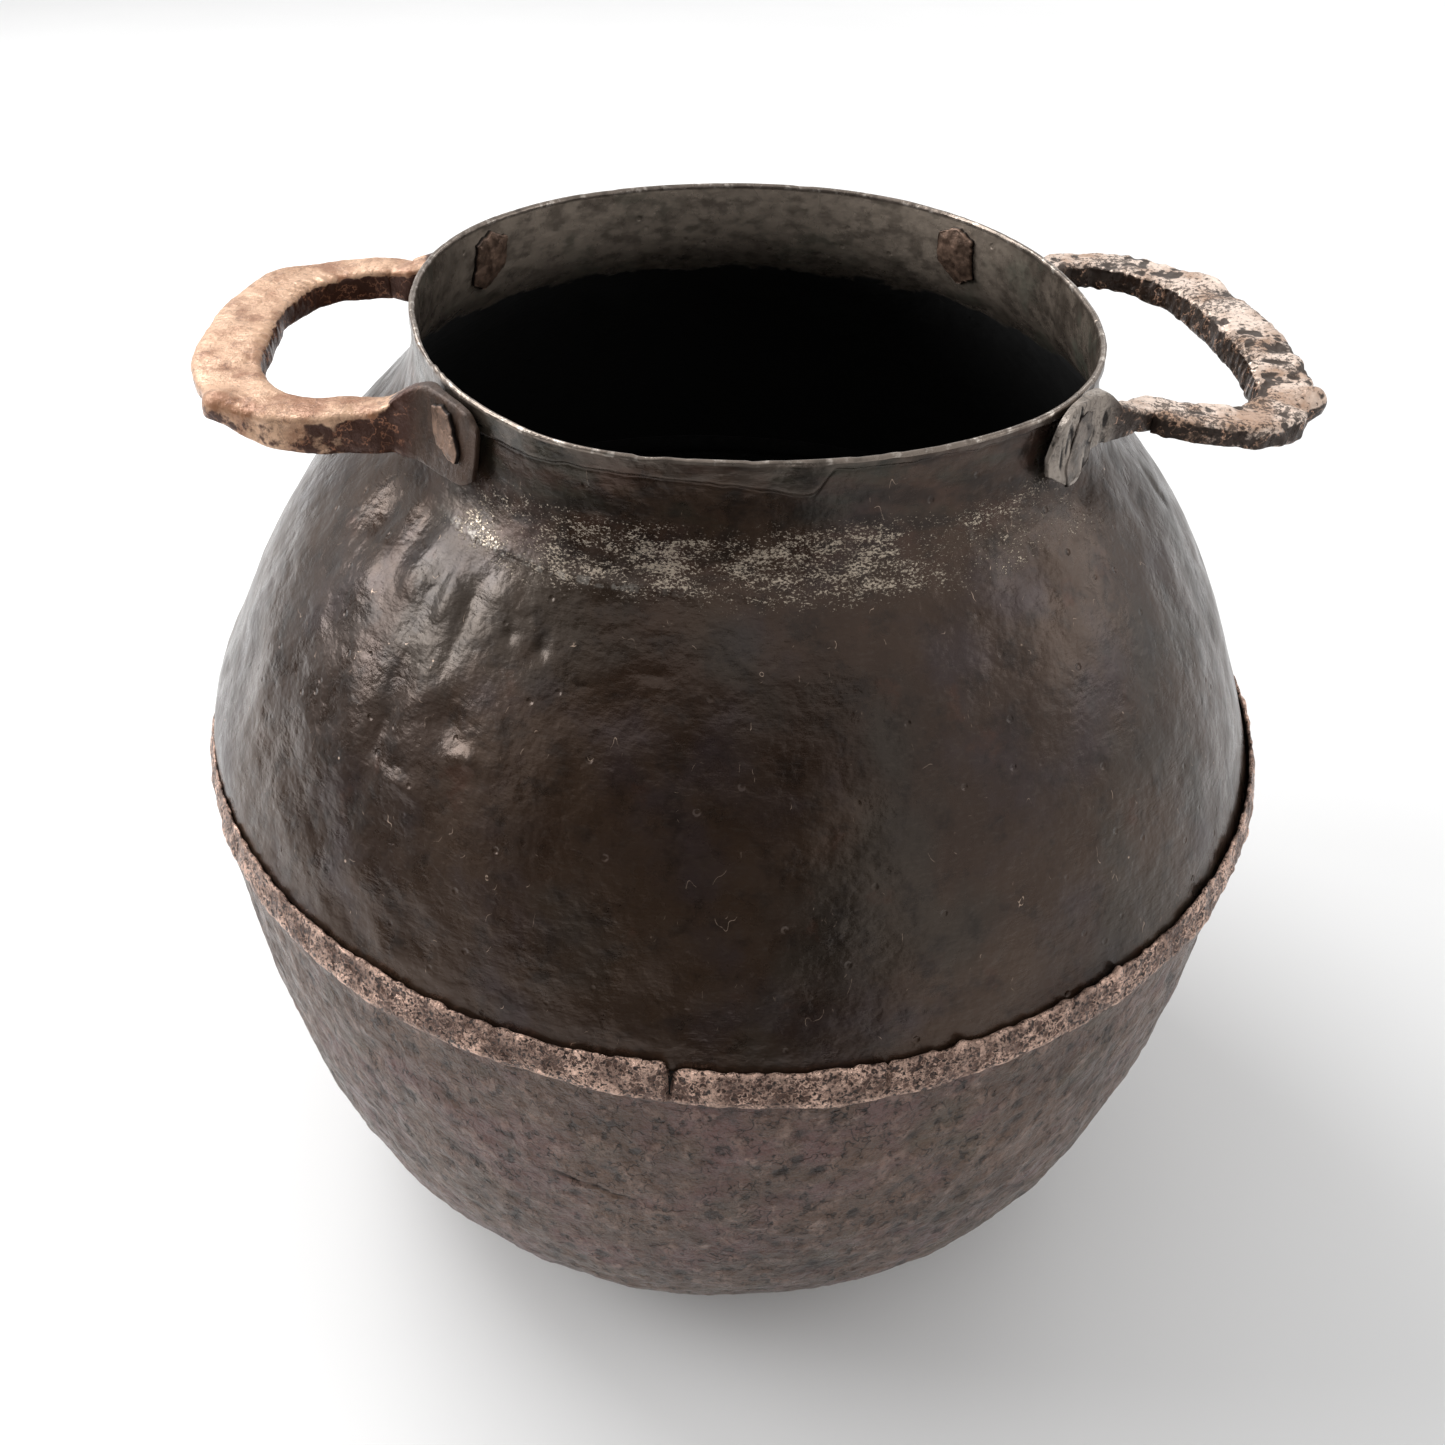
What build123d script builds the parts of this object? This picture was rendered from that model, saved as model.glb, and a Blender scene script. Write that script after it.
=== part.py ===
# Two-handled globular copper pot, built from raised sheet as the real one is.
# Units are millimetres, +Z is up, the origin is the centre of the base,
# and the two handles stand out along +X and -X.
from build123d import *
import math
import os

os.makedirs("parts", exist_ok=True)

# ---- overall sizes -------------------------------------------------------
TOTAL_HEIGHT = 360.0
RIM_RADIUS = 109.7
BAND_RADIUS = 192.7
BASE_FLAT_RADIUS = 60.0
BOTTOM_ARC_RADIUS = 130.0

# ---- sheet ---------------------------------------------------------------
UPPER_SHEET = 1.2
LOWER_SHEET = 1.8
FIT_GAP = 0.08

# ---- folded seam ---------------------------------------------------------
SEAM_FLOOR_Z = 207.3
SEAM_TOP_Z = 218.3
SKIRT_FOOT_Z = 207.6
SEAM_LEDGE_Z = 203.6

# ---- rim hem -------------------------------------------------------------
HEM_FOOT_Z = 353.6
HEM_ROOT_Z = 355.5

# ---- handles -------------------------------------------------------------
BAR_EDGE_ROUND = 2.4
FOOT_THICKNESS = 4.2
LEFT_BAR_TOP_Z = 347.5
LEFT_BAR_HEIGHT = 10.5
LEFT_REACH = 171.5
LEFT_HALF_WIDTH = 62.0
LEFT_BAR_WIDTH = 20.0
LEFT_FOOT_ANGLE = 36.5
RIGHT_BAR_TOP_Z = 348.5
RIGHT_BAR_HEIGHT = 10.5
RIGHT_REACH = 172.5
RIGHT_HALF_WIDTH = 69.0
RIGHT_BAR_WIDTH = 18.5
RIGHT_FOOT_ANGLE = 42.0

# ---- rivets --------------------------------------------------------------
BACK_RIVET_Z = 345.0
FRONT_RIVET_Z = 347.5
SHANK_RADIUS = 3.2
HOLE_RADIUS = 3.26
OUTER_HEAD = 2.4
INNER_HEAD = 2.2
HEAD_DRAFT = 22.0


# ---- small helpers -------------------------------------------------------
def curve(points):
    """Smooth line through (radius, height) points, in the XZ plane."""
    return Spline(*[(r, 0, z) for r, z in points])


def chain(points):
    """Straight segments through (radius, height) points, in the XZ plane."""
    return Polyline(*[(r, 0, z) for r, z in points])


def inset(line, depth, steps):
    """Points a fixed depth inside a wall line that runs upwards."""
    found = []
    for i in range(steps + 1):
        at = line.position_at(i / steps)
        along = line.tangent_at(i / steps)
        found.append((at.X - depth * along.Z, at.Z + depth * along.X))
    return found


def ends(line):
    """First and last (radius, height) of a line."""
    a = line.position_at(0)
    b = line.position_at(1)
    return (a.X, a.Z), (b.X, b.Z)


def spin(edges):
    """Solid of revolution about Z from the edges of a closed section."""
    wire = Wire(edges)
    return revolve(Face(wire), Axis.Z, 360)


# ---- lower bowl ----------------------------------------------------------
# Outside of the bottom: a small flat, then an arc that runs out to the belly.
bottom_points = []
for degrees in (0, 14, 28, 42, 55):
    turn = math.radians(degrees)
    out = BASE_FLAT_RADIUS + BOTTOM_ARC_RADIUS * math.sin(turn)
    rise = BOTTOM_ARC_RADIUS * (1 - math.cos(turn))
    bottom_points.append((out, rise))
belly_points = [(174.5, 74), (180.6, 98), (184.7, 122), (187.6, 148), (189.4, 174), (190.1, 198)]
bowl_outside = curve(bottom_points + belly_points)
bowl_inside_points = inset(bowl_outside, LOWER_SHEET, 24)
bowl_inside_points[0] = (BASE_FLAT_RADIUS, LOWER_SHEET)
bowl_inside = curve(bowl_inside_points)

# The top edge turns out into a ledge and folds up as the visible band.
fold_line = curve(
    [
        (190.2, SEAM_LEDGE_Z),
        (191.1, 204.9),
        (192.2, 205.7),
        (BAND_RADIUS, 207.2),
        (192.4, 209.2),
    ]
)
band_top_out = (189.9, SEAM_TOP_Z)
band_top_in = (188.5, SEAM_TOP_Z - 0.4)
pocket_corner = (191.2, SEAM_FLOOR_Z)
ledge_inner = (188.3, SEAM_FLOOR_Z)

out_a, out_b = ends(bowl_outside)
in_a, in_b = ends(bowl_inside)
fold_a, fold_b = ends(fold_line)
lower_bowl = spin(
    [
        *chain([(0, 0), out_a]).edges(),
        *bowl_outside.edges(),
        *chain([out_b, fold_a]).edges(),
        *fold_line.edges(),
        *chain([fold_b, band_top_out, band_top_in, pocket_corner, ledge_inner, in_b]).edges(),
        *bowl_inside.edges(),
        *chain([in_a, (0, LOWER_SHEET), (0, 0)]).edges(),
    ]
)

# ---- upper shell ---------------------------------------------------------
# Skirt in the seam, shoulder, concave turn into the neck, and the neck.
shoulder_points = [
    (190.75, SKIRT_FOOT_Z),
    (187.75, 218.5),
    (183.2, 230.5),
    (174.8, 250),
    (164.5, 270),
    (151.6, 290),
    (137.5, 307.5),
    (127.5, 318.3),
    (120.6, 325.4),
    (115.6, 331.4),
    (112.2, 337.8),
    (110.0, 344.5),
    (108.8, 350.5),
]
neck_full = curve(shoulder_points + [(108.3, 358.7)])
neck_to_hem = curve(shoulder_points + [(108.42, HEM_ROOT_Z)])
neck_inside = curve(inset(neck_full, UPPER_SHEET, 40))

skirt_out, hem_root = ends(neck_to_hem)
skirt_in, rim_in = ends(neck_inside)
rim_out = (RIM_RADIUS, rim_in[1])
rim_crown = ((rim_out[0] + rim_in[0]) / 2, TOTAL_HEIGHT)
crown_arc = ThreePointArc(
    (rim_out[0], 0, rim_out[1]), (rim_crown[0], 0, rim_crown[1]), (rim_in[0], 0, rim_in[1])
)
upper_shell = spin(
    [
        *neck_to_hem.edges(),
        *chain([hem_root, (108.75, HEM_FOOT_Z), (109.55, HEM_FOOT_Z), rim_out]).edges(),
        *crown_arc.edges(),
        *neck_inside.edges(),
        *chain([skirt_in, skirt_out]).edges(),
    ]
)

# ---- solder bead inside the seam -----------------------------------------
seam_solder = spin(
    chain(
        [
            (189.4, 207.4),
            (187.7, 213.5),
            (186.9, 213.2),
            (185.9, 209.6),
            (186.4, 206.2),
            (188.2, 204.0),
            (188.22, 207.4),
            (189.4, 207.4),
        ]
    ).edges()
)


# ---- surfaces that follow the neck, for feet and rivet heads -------------
def neck_plug(extra):
    """Everything within the neck wall line moved out by extra."""
    wall = [(r, z) for r, z in inset(neck_full, -extra, 60) if z > 316]
    line = curve(wall)
    low, high = ends(line)
    return spin(
        [
            *chain([(0, low[1]), low]).edges(),
            *line.edges(),
            *chain([high, (high[0], 372), (0, 372), (0, low[1])]).edges(),
        ]
    )


def hem_plug():
    """Room that the rim hem takes above its folded edge."""
    middle = Pos(0, 0, HEM_FOOT_Z - 0.3) * Cylinder(
        RIM_RADIUS + 0.15, 20, align=(Align.CENTER, Align.CENTER, Align.MIN)
    )
    return middle


NECK_CLEAR = neck_plug(FIT_GAP) + hem_plug()
FOOT_OUTSIDE = neck_plug(FOOT_THICKNESS)
HEAD_SEAT = neck_plug(FOOT_THICKNESS + 0.05)
HEAD_OUTSIDE = neck_plug(FOOT_THICKNESS + 0.05 + OUTER_HEAD)
NECK_INSIDE = neck_plug(-UPPER_SHEET - 0.05)
HEAD_INSIDE = neck_plug(-UPPER_SHEET - 0.05 - INNER_HEAD)


def flat(points, flip):
    """Flat face from an outline; flip is -1 to mirror it left to right."""
    outline = [(flip * x, y) for x, y in points]
    turning = 0
    for (ax, ay), (bx, by) in zip(outline, outline[1:] + outline[:1]):
        turning = turning + ax * by - bx * ay
    if turning < 0:
        outline.reverse()
    return Polygon(*outline, align=None)


def radial_plane(degrees, radius, inward, height):
    """Plane facing along a radius at a height: x runs round, y runs up."""
    turn = math.radians(degrees)
    ray = Vector(math.cos(turn), math.sin(turn), 0)
    round_way = Vector(-math.sin(turn), math.cos(turn), 0)
    facing = ray
    if inward:
        facing = ray * -1
        round_way = round_way * -1
    return Plane(origin=ray * radius + Vector(0, 0, height), x_dir=round_way, z_dir=facing)


# ---- handles -------------------------------------------------------------
# Leaf outline of one foot: x runs round the neck away from the bar, y is up.
LEAF = [
    (-25, 5.0),
    (-15, 9.6),
    (0, 10.2),
    (9, 8.2),
    (13, 1.0),
    (12, -10.5),
    (9, -14.5),
    (3, -11.5),
    (-6, -10.4),
    (-25, -4.0),
]


def ribbon(points, middle):
    """Flat face inside a smooth outline that is mirrored across the X axis."""
    lower = [(x, -y) for x, y in points]
    upper = list(reversed(points))
    path = Spline(*[(x, y, 0) for x, y in lower + [middle] + upper])
    closing = Line(path.position_at(1), path.position_at(0))
    return Face(Wire([*path.edges(), *closing.edges()]))


def handle(reach, half_width, bar_width, foot_angle, bar_top, bar_height, front):
    """Loop handle on the +X side with a leaf foot at each end; front is the side of its higher foot."""
    edge_out = half_width
    edge_in = half_width - 18.0
    root = 112.0 * math.sin(math.radians(foot_angle - 8.0))
    outline = [
        (97, root - 3),
        (106, root - 1),
        (115, root + 5),
        (127, edge_out - 1),
        (141, edge_out),
        (154, 0.86 * edge_out),
        (165, 0.57 * edge_out),
        (reach - 1.2, 0.28 * edge_out),
    ]
    hollow = [
        (90, root - 12),
        (112, root - 10),
        (127, edge_in),
        (137, 0.93 * edge_in),
        (reach - bar_width - 4.6, 0.72 * edge_in),
        (reach - bar_width - 1.0, 0.36 * edge_in),
    ]
    outer = ribbon(outline, (reach, 0))
    inner = ribbon(hollow, (reach - bar_width, 0))
    loop = extrude(outer - inner, bar_height)
    rims = loop.edges().filter_by(lambda e: abs(e.tangent_at(0.5).Z) < 0.01)
    loop = fillet(rims, BAR_EDGE_ROUND)
    body = Pos(0, 0, bar_top - bar_height) * loop
    heights = {front: FRONT_RIVET_Z, -front: BACK_RIVET_Z}
    for side in (1, -1):
        where = radial_plane(side * foot_angle, 88, False, heights[side])
        leaf = flat(LEAF, side)
        leaf = fillet(leaf.vertices().filter_by(lambda v: side * v.X > 8), 1.6)
        blade = extrude(where * leaf, 40) & FOOT_OUTSIDE
        # the bar swells in height as it runs into the foot
        near = Plane(origin=(127, side * (edge_out - 9), bar_top - bar_height / 2), z_dir=(1, 0, 0))
        far = Plane(origin=(101, side * (root - 4), heights[side] - 1.7), z_dir=(1, 0, 0))
        swell = loft([near * Rectangle(10, 8), far * Rectangle(7, 17)], ruled=True)
        body = body + blade + swell
    body = body - NECK_CLEAR
    for side in (1, -1):
        where = radial_plane(side * foot_angle, 90, False, heights[side])
        body = body - extrude(where * Circle(HOLE_RADIUS), 40)
    return body


left_handle = handle(
    LEFT_REACH,
    LEFT_HALF_WIDTH,
    LEFT_BAR_WIDTH,
    LEFT_FOOT_ANGLE,
    LEFT_BAR_TOP_Z,
    LEFT_BAR_HEIGHT,
    1,
).rotate(Axis.Z, 180)
right_handle = handle(
    RIGHT_REACH,
    RIGHT_HALF_WIDTH,
    RIGHT_BAR_WIDTH,
    RIGHT_FOOT_ANGLE,
    RIGHT_BAR_TOP_Z,
    RIGHT_BAR_HEIGHT,
    -1,
)

# ---- rivets --------------------------------------------------------------
# Outlines of the beaten heads: x runs round the neck, y is up.
OUTER_LOZENGE = [(-6, 8.5), (1, 9), (4, 2), (7, -6), (5, -9.2), (-2, -5.5), (-6.5, 0)]
INNER_LOZENGE = [(-7.5, 8), (0, 11), (8, 7.5), (8.5, -3), (0.5, -11), (-7.5, -6.5)]


def rivet(degrees, lean, height):
    """Rivet through foot and neck at an angle round the axis; lean is 1 or -1."""
    outer_face = flat(OUTER_LOZENGE, lean)
    inner_face = flat(INNER_LOZENGE, lean)
    out_start = radial_plane(degrees, 112.3, False, height)
    in_start = radial_plane(degrees, 109.2, True, height)
    outer = extrude(out_start * outer_face, 7, taper=HEAD_DRAFT)
    outer = (outer & HEAD_OUTSIDE) - HEAD_SEAT
    inner = extrude(in_start * inner_face, 7, taper=HEAD_DRAFT)
    inner = (inner & NECK_INSIDE) - HEAD_INSIDE
    shank_start = radial_plane(degrees, 106.4, False, height)
    shank = extrude(shank_start * Circle(SHANK_RADIUS), 8.4)
    return outer + shank + inner


rivet_right_front = rivet(-RIGHT_FOOT_ANGLE, -1, FRONT_RIVET_Z)
rivet_right_back = rivet(RIGHT_FOOT_ANGLE, 1, BACK_RIVET_Z)
rivet_left_front = rivet(180 + LEFT_FOOT_ANGLE, 1, FRONT_RIVET_Z)
rivet_left_back = rivet(180 - LEFT_FOOT_ANGLE, -1, BACK_RIVET_Z)

# holes in the neck for the shanks
for angle, hole_z in (
    (-RIGHT_FOOT_ANGLE, FRONT_RIVET_Z),
    (RIGHT_FOOT_ANGLE, BACK_RIVET_Z),
    (180 + LEFT_FOOT_ANGLE, FRONT_RIVET_Z),
    (180 - LEFT_FOOT_ANGLE, BACK_RIVET_Z),
):
    punch = extrude(radial_plane(angle, 98, False, hole_z) * Circle(HOLE_RADIUS), 16)
    upper_shell = upper_shell - punch

# ---- files ---------------------------------------------------------------
PARTS = {
    "upper_shell": upper_shell,
    "lower_bowl": lower_bowl,
    "seam_solder": seam_solder,
    "left_handle": left_handle,
    "right_handle": right_handle,
    "rivet_left_front": rivet_left_front,
    "rivet_left_back": rivet_left_back,
    "rivet_right_front": rivet_right_front,
    "rivet_right_back": rivet_right_back,
}
for name, shape in PARTS.items():
    solids = shape.solids()
    print(name, "solids", len(solids), "volume", round(sum(s.volume for s in solids)), "valid", shape.is_valid)
    box = shape.bounding_box()
    print("   ", box.min, box.max)
    solid = solids[0] if len(solids) == 1 else shape
    solid.label = name
    export_step(solid, "parts/" + name + ".step")
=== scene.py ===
"""Looks of the two-handled hammered copper pot.

Shapes are worked out in millimetres in the part's own frame (+Z up, origin at the
centre of the base, handles along +X and -X) and turned into metres when a mesh is made.
"""

import math

import bpy
import numpy as np
from mathutils import Matrix, Vector


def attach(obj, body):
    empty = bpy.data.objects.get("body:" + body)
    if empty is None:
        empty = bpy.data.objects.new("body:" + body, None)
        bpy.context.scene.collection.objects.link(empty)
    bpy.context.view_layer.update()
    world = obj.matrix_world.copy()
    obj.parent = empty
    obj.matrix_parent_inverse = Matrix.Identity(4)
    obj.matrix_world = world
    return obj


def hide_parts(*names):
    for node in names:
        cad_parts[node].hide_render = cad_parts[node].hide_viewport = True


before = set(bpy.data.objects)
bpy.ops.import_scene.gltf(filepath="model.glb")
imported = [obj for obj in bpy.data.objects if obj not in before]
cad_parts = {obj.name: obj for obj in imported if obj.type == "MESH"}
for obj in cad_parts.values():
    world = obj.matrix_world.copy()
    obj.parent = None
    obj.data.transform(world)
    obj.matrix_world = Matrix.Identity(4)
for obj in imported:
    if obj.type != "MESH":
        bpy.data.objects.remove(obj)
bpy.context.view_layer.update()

# ---- sizes in millimetres --------------------------------------------------
MM = 0.001
UP = np.array([0, 0, 1.0])
COLUMNS = 1080
FINE_COLUMNS = 1440

TOTAL_HEIGHT = 360.0
UPPER_SHEET = 1.2
LOWER_SHEET = 1.8
HEM_SHEET = 1.1
BAND_TOP = 218.3
BASE_FLAT = 60.0
BOTTOM_ARC = 130.0

LEFT_FOOT = 36.5
RIGHT_FOOT = 42.0
FOOT_THICKNESS = 4.0
FOOT_SEAT = 110.6
FOOT_LEVEL = 345.0
NECK = 110.0

# outside of the shoulder and neck, from the skirt in the seam to the rim
SHOULDER = [
    (190.75, 207.6),
    (187.75, 218.5),
    (183.2, 230.5),
    (174.8, 250),
    (164.5, 270),
    (151.6, 290),
    (137.5, 307.5),
    (127.5, 318.3),
    (120.6, 325.4),
    (115.6, 331.4),
    (112.2, 337.8),
    (110.0, 344.5),
    (108.8, 350.5),
    (108.3, 358.7),
]
# outside of the belly, above the arc of the bottom
BELLY = [(174.5, 74), (180.6, 98), (184.7, 122), (187.6, 148), (189.4, 174), (190.1, 203.4)]


# ---- noise and curves ------------------------------------------------------
CELLS = 32


def lattice(seed):
    """Table of random values from -1 to 1 for one kind of noise."""
    return np.random.RandomState(seed).uniform(-1, 1, (CELLS, CELLS, CELLS))


def grain(points, size, seed):
    """Smooth noise from -1 to 1 at 3-D points; size is the width of one lump, or three widths."""
    table = lattice(seed)
    cell = points / np.asarray(size, float)
    low = np.floor(cell).astype(int)
    part = cell - low
    part = part * part * (3 - 2 * part)
    total = np.zeros(len(points))
    for corner in np.ndindex(2, 2, 2):
        weight = np.ones(len(points))
        for axis in range(3):
            weight = weight * (part[:, axis] if corner[axis] else 1 - part[:, axis])
        at = (low + corner) % CELLS
        total = total + weight * table[at[:, 0], at[:, 1], at[:, 2]]
    return total


def rough(points, size, seed, octaves=3):
    """Several sizes of noise added together."""
    total = np.zeros(len(points))
    for k in range(octaves):
        total = total + grain(points, np.asarray(size, float) / 2**k, seed + k) / 2**k
    return total


def dints(points, size, seed, share):
    """Rounded hollows, 0 to about -1, scattered size millimetres apart; share of them are struck."""
    spread = np.random.RandomState(seed).uniform(0, 1, (CELLS, CELLS, CELLS, 4))
    cell = points / np.asarray(size, float)
    low = np.floor(cell).astype(int)
    total = np.zeros(len(points))
    for step in np.ndindex(3, 3, 3):
        near = low + np.array(step) - 1
        at = near % CELLS
        own = spread[at[:, 0], at[:, 1], at[:, 2]]
        gap = np.linalg.norm(near + own[:, :3] - cell, axis=1)
        hollow = np.clip(1 - (gap / 0.8) ** 2, 0, 1) ** 2
        total = total - hollow * ramp(own[:, 3] + share, 1.0, 1.5)
    return total


def ramp(x, low, high):
    """0 below low, 1 above high, smooth between."""
    t = np.clip((np.asarray(x, float) - low) / (high - low), 0, 1)
    return t * t * (3 - 2 * t)


def bump(x, middle, width):
    """A smooth hump of height 1."""
    return np.exp(-(((np.asarray(x, float) - middle) / width) ** 2))


def turn_gap(theta, degrees):
    """Signed angle from a direction, in degrees."""
    return (np.degrees(theta) - degrees + 180) % 360 - 180


def near(theta, degrees, width):
    """A smooth hump round the pot at a direction; width is in degrees."""
    return bump(turn_gap(theta, degrees), 0, width)


def smooth_line(points, count):
    """Evenly spaced points on a smooth curve through the given ones."""
    p = np.array(points, float)
    p = np.vstack([2 * p[0] - p[1], p, 2 * p[-1] - p[-2]])
    found = []
    for i in range(1, len(p) - 2):
        t = np.linspace(0, 1, 24, endpoint=False)[:, None]
        a = 2 * p[i]
        b = p[i + 1] - p[i - 1]
        c = 2 * p[i - 1] - 5 * p[i] + 4 * p[i + 1] - p[i + 2]
        d = -p[i - 1] + 3 * p[i] - 3 * p[i + 1] + p[i + 2]
        found.append(0.5 * (a + b * t + c * t**2 + d * t**3))
    found.append(p[-2][None])
    line = np.vstack(found)
    run = np.concatenate([[0], np.cumsum(np.linalg.norm(np.diff(line, axis=0), axis=1))])
    even = np.linspace(0, run[-1], count)
    return np.stack([np.interp(even, run, line[:, k]) for k in range(line.shape[1])], 1)


def smooth_between(x, marks, values):
    """Values between marks, with their corners rounded off."""
    straight = np.interp(x, marks, values)
    window = np.hanning(17)
    return np.convolve(np.pad(straight, 8, mode="edge"), window / window.sum(), mode="valid")


def line_normals(line):
    """Outward normals of a (radius, height) line that runs upwards."""
    along = np.gradient(line, axis=0)
    along = along / np.linalg.norm(along, axis=1)[:, None]
    return np.stack([along[:, 1], -along[:, 0]], 1)


# ---- the pot's own unevenness, shared by every piece -----------------------
def beaten(points):
    """Moves points the way the hand-raised pot is out of round."""
    x, y, z = points.T
    theta = np.arctan2(y, x)
    radius = np.hypot(x, y)
    high = ramp(z, 285, 350) * (1 - ramp(radius, 119, 140))
    push = 1.7 * np.cos(4 * theta - math.radians(214)) * high
    push = push + 2.4 * near(theta, -121, 13) * high
    low = ramp(z, 20, 110) * (1 - ramp(z, 285, 330))
    push = push + (0.5 * np.cos(2 * theta + 0.7) + 0.4 * np.cos(3 * theta - 1.1)) * low
    push = push - (0.9 + 0.5 * bump(z, 255, 45)) * np.cos(theta) * low
    push = push * ramp(radius, 10, 70)
    sag = -3.6 * near(theta, -84, 21) * bump(z, 212, 60)
    sag = sag + 0.9 * np.cos(2 * theta + 2.2) * bump(z, 212, 80)
    grow = (radius + push) / np.maximum(radius, 1e-6)
    return np.stack([x * grow, y * grow, z + sag], 1)


# ---- mesh making -----------------------------------------------------------
def grid_faces(rows, columns, wrap_rows):
    """Quads of a grid that closes round its columns, and round its rows if asked."""
    last = rows if wrap_rows else rows - 1
    i = np.arange(last)[:, None]
    j = np.arange(columns)[None, :]
    a = i * columns + j
    b = i * columns + (j + 1) % columns
    c = ((i + 1) % rows) * columns + (j + 1) % columns
    d = ((i + 1) % rows) * columns + j
    return np.stack([a, b, c, d], -1).reshape(-1, 4).tolist()


def capped_faces(rows, columns):
    """Quads of an open grid, closed at its ends by fans to the two points that follow it."""
    faces = grid_faces(rows, columns, False)
    count = rows * columns
    for j in range(columns):
        after = (j + 1) % columns
        faces.append([count, after, j])
        faces.append([count + 1, count - columns + j, count - columns + after])
    return faces


def linked(name, data):
    """A new object in the scene."""
    thing = bpy.data.objects.new(name, data)
    bpy.context.scene.collection.objects.link(thing)
    return thing


def make_piece(name, node, material, points, faces, masks):
    """Mesh of millimetre points with named vertex masks, put in place of its CAD node."""
    mesh = bpy.data.meshes.new(name)
    mesh.from_pydata((beaten(points) * MM).tolist(), [], faces)
    mesh.polygons.foreach_set("use_smooth", [True] * len(mesh.polygons))
    for mask_name, values in masks.items():
        layer = mesh.attributes.new(mask_name, "FLOAT", "POINT")
        layer.data.foreach_set("value", np.clip(values, 0, 1).astype(np.float32))
    mesh.validate()
    mesh.update()
    piece = linked(name, mesh)
    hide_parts(node)
    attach(piece, "root")
    piece.data.materials.append(material)


def turned(theta, radius, z):
    """Ring of points at a radius and a height."""
    return np.stack([radius * np.cos(theta), radius * np.sin(theta), z + 0 * theta], 1)


def skin(line, theta, share, relief_of, out):
    """One row of a sheet turned from a line, moved out by its relief and by out; and its marks."""
    run = np.linspace(0, 1, len(line))
    radius, z = (np.interp(share, run, values) for values in line.T)
    across, up = (np.interp(share, run, values) for values in line_normals(line).T)
    flat = turned(theta, radius, z)
    height, marks = relief_of(flat)
    return flat + turned(theta, across, up) * (height + out)[:, None], marks


class Sheet:
    """Rows of points that each go once round the pot, with their masks."""

    def __init__(self, columns, names):
        self.zero = np.zeros(columns)
        self.rows = []
        self.masks = {name: [] for name in names}

    def add(self, points, *values):
        self.rows.append(points)
        for name, value in zip(self.masks, values):
            self.masks[name].append(self.zero + value)

    def joined_masks(self):
        return {name: np.concatenate(values) for name, values in self.masks.items()}


THETA = np.linspace(-math.pi, math.pi, COLUMNS, endpoint=False)
FINE = np.linspace(-math.pi, math.pi, FINE_COLUMNS, endpoint=False)


# ---- upper shell -----------------------------------------------------------
# marks in the shoulder: angle, height, half width, half height and depth, below 0 where it stands out
KNOCKS = [
    (-127.4, 288, 7, 5, 1.5),
    (-123.5, 282, 6, 2.6, -0.9),
    (-135, 281, 4.5, 15, 1.2),
    (-130, 269, 8, 2.5, -0.6),
    (-153, 318, 12, 8, 1.7),
    (-144, 321, 7, 7, 1.1),
    (-140, 312, 7, 7, -1.1),
    (-147, 307, 8, 9, -0.9),
    (-133.5, 312, 3.5, 8, -1.0),
    (-129.8, 308, 3.0, 8, 1.0),
    (-123.2, 310.7, 2.0, 2.0, 0.7),
    (-118.9, 309.8, 2.2, 2.2, 0.9),
    (-125, 317, 8, 2.6, -0.7),
    (-113, 325, 12, 1.8, -0.5),
    (-104.7, 309.5, 4, 1.4, 0.5),
    (-112, 299, 16, 9, 0.6),
    (-25.7, 318, 8, 9, 0.9),
    (-14.4, 310, 2.6, 6, 0.8),
    (-31, 300, 7, 11, 0.8),
    (-44, 287, 9, 7, 0.6),
    (-60, 300, 14, 8, -0.5),
    (-22, 285, 8, 13, 0.7),
    (70, 290, 14, 12, 1.1),
    (110, 305, 10, 10, 0.9),
    (160, 270, 12, 14, 1.0),
]


def shoulder_relief(points):
    """Height of the hammered surface over the plain shoulder and neck; it has no marks of its own."""
    z = points[:, 2]
    radius = np.hypot(points[:, 0], points[:, 1])
    theta = np.arctan2(points[:, 1], points[:, 0])
    neck = ramp(z, 322, 336)
    left = near(theta, -145, 42)
    right = near(theta, -28, 36)
    calm = 0.5 + 1.0 * left + 0.3 * right
    dents = 0.75 * dints(points, 17, 11, 0.45) + 0.34 * dints(points, 8, 12, 0.3)
    swell = 0.7 * rough(points, 55, 13, 2) + 0.36 * rough(points, 22, 15, 2)
    folds = 0.22 * rough(points, (15, 15, 42), 19, 2) * (left + 0.2 * right)
    fine = 0.07 * rough(points, 4.5, 17, 2)
    relief = (swell * (0.5 + 0.5 * calm) + dents * calm + folds) * (1 - 0.55 * neck) + fine
    for angle, height, wide, tall, deep in KNOCKS:
        off = turn_gap(theta, angle) * math.radians(1) * radius
        relief = relief - deep * np.exp(-((off / wide) ** 2) - ((z - height) / tall) ** 2)
    ridge = bump(z, 326.6 + 0.6 * grain(points, 14, 25), 1.0)
    relief = relief + 0.4 * ridge * near(theta, -118, 17)
    relief = relief * ramp(z, 216, 226)
    # the shoulder stands over the seam on the left; a crease runs above it on the right
    relief = relief + 1.7 * near(theta, 176, 24) * bump(z, 226, 15)
    return relief - 1.1 * near(theta, -27, 14) * bump(z, 219, 5), None


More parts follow.
